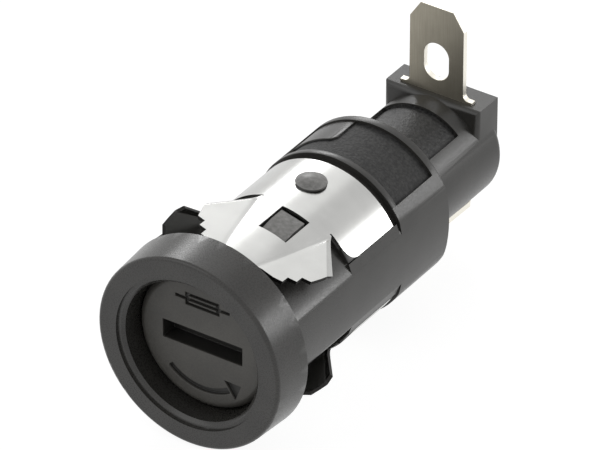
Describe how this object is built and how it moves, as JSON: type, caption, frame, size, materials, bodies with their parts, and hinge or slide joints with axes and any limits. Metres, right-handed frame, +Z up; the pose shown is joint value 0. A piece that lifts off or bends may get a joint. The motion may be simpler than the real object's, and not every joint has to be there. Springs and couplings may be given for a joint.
{
  "type": "cartridge fuse holder",
  "caption": "Snap-in panel fuse holder: a round flanged barrel with a sheet steel spring clip, a bayonet fuse carrier with a driver slot, a glass fuse inside and two flat terminal tabs.",
  "frame": {"origin": "on the axis, at the flange's rear face, which lies on the panel's front", "axes": "+Y along the axis from the panel to the rear end, +Z up along the upper tab, +X to the right seen from the front, towards the side flat"},
  "size_m": [0.0164, 0.0359, 0.0206],
  "materials": {
    "moulded_housing": "moulded thermoplastic, fine satin texture",
    "moulded_carrier": "moulded thermoplastic, fine matt texture",
    "clip_steel": "bright rolled stainless spring strip",
    "tinned_sheet": "dull tin plate on brass",
    "nickel_cap": "bright nickel plate",
    "fuse_glass": "clear drawn glass",
    "fuse_element": "drawn tinned wire",
    "contact_brass": "turned brass",
    "spring_wire": "drawn spring wire"
  },
  "bodies": {
    "holder": {"housing": "moulded_housing", "spring_clip": "clip_steel", "rear_terminal": "tinned_sheet", "side_terminal": "tinned_sheet", "contact_spring": "spring_wire"},
    "fuse_set": {"contact_sleeve": "tinned_sheet", "fuse_front_cap": "nickel_cap", "fuse_tube": "fuse_glass", "fuse_wire": "fuse_element", "fuse_rear_cap": "nickel_cap"},
    "carrier": {"carrier_cap": "moulded_carrier"},
    "plunger": {"rear_contact": "contact_brass"},
    "upper_right_wing_body": {"upper_right_wing": "clip_steel"},
    "upper_left_wing_body": {"upper_left_wing": "clip_steel"},
    "side_upper_wing_body": {"side_upper_wing": "clip_steel"},
    "side_lower_wing_body": {"side_lower_wing": "clip_steel"},
    "lower_left_wing_body": {"lower_left_wing": "clip_steel"},
    "lower_right_wing_body": {"lower_right_wing": "clip_steel"}
  },
  "joints": [
    {"name": "carrier_withdraw", "type": "slide", "parent": "holder", "child": "fuse_set", "axis": [0, -1, 0], "range_m": [0, 0.03]},
    {"name": "carrier_turn", "type": "hinge", "parent": "fuse_set", "child": "carrier", "pos_m": [0, 0, 0], "axis": [0, 1, 0], "range_deg": [0, 60]},
    {"name": "rear_contact_press", "type": "slide", "parent": "holder", "child": "plunger", "axis": [0, 1, 0], "range_m": [0, 0.0015], "stiffness_N_per_m": 800, "springref_m": -0.002, "deforming": ["contact_spring"]},
    {"name": "upper_right_wing_flex", "type": "hinge", "parent": "holder", "child": "upper_right_wing_body", "pos_m": [0.004, 0.00905, 0.00487], "axis": [0.1993, 0.9726, -0.1195], "range_deg": [0, 19], "stiffness_Nm_per_rad": 0.01},
    {"name": "upper_left_wing_flex", "type": "hinge", "parent": "holder", "child": "upper_left_wing_body", "pos_m": [-0.00167, 0.00905, 0.00607], "axis": [0.2307, -0.9726, 0.0281], "range_deg": [0, 19], "stiffness_Nm_per_rad": 0.01},
    {"name": "side_upper_wing_flex", "type": "hinge", "parent": "holder", "child": "side_upper_wing_body", "pos_m": [-0.00559, 0.00905, 0.0029], "axis": [0.0755, 0.9726, 0.2198], "range_deg": [0, 34], "stiffness_Nm_per_rad": 0.01},
    {"name": "side_lower_wing_flex", "type": "hinge", "parent": "holder", "child": "side_lower_wing_body", "pos_m": [-0.00559, 0.00905, -0.0029], "axis": [-0.0755, -0.9726, 0.2198], "range_deg": [0, 34], "stiffness_Nm_per_rad": 0.01},
    {"name": "lower_left_wing_flex", "type": "hinge", "parent": "holder", "child": "lower_left_wing_body", "pos_m": [-0.00167, 0.00905, -0.00607], "axis": [-0.2307, 0.9726, 0.0281], "range_deg": [0, 23], "stiffness_Nm_per_rad": 0.01},
    {"name": "lower_right_wing_flex", "type": "hinge", "parent": "holder", "child": "lower_right_wing_body", "pos_m": [0.004, 0.00905, -0.00487], "axis": [-0.1993, -0.9726, -0.1195], "range_deg": [0, 23], "stiffness_Nm_per_rad": 0.01}
  ]
}
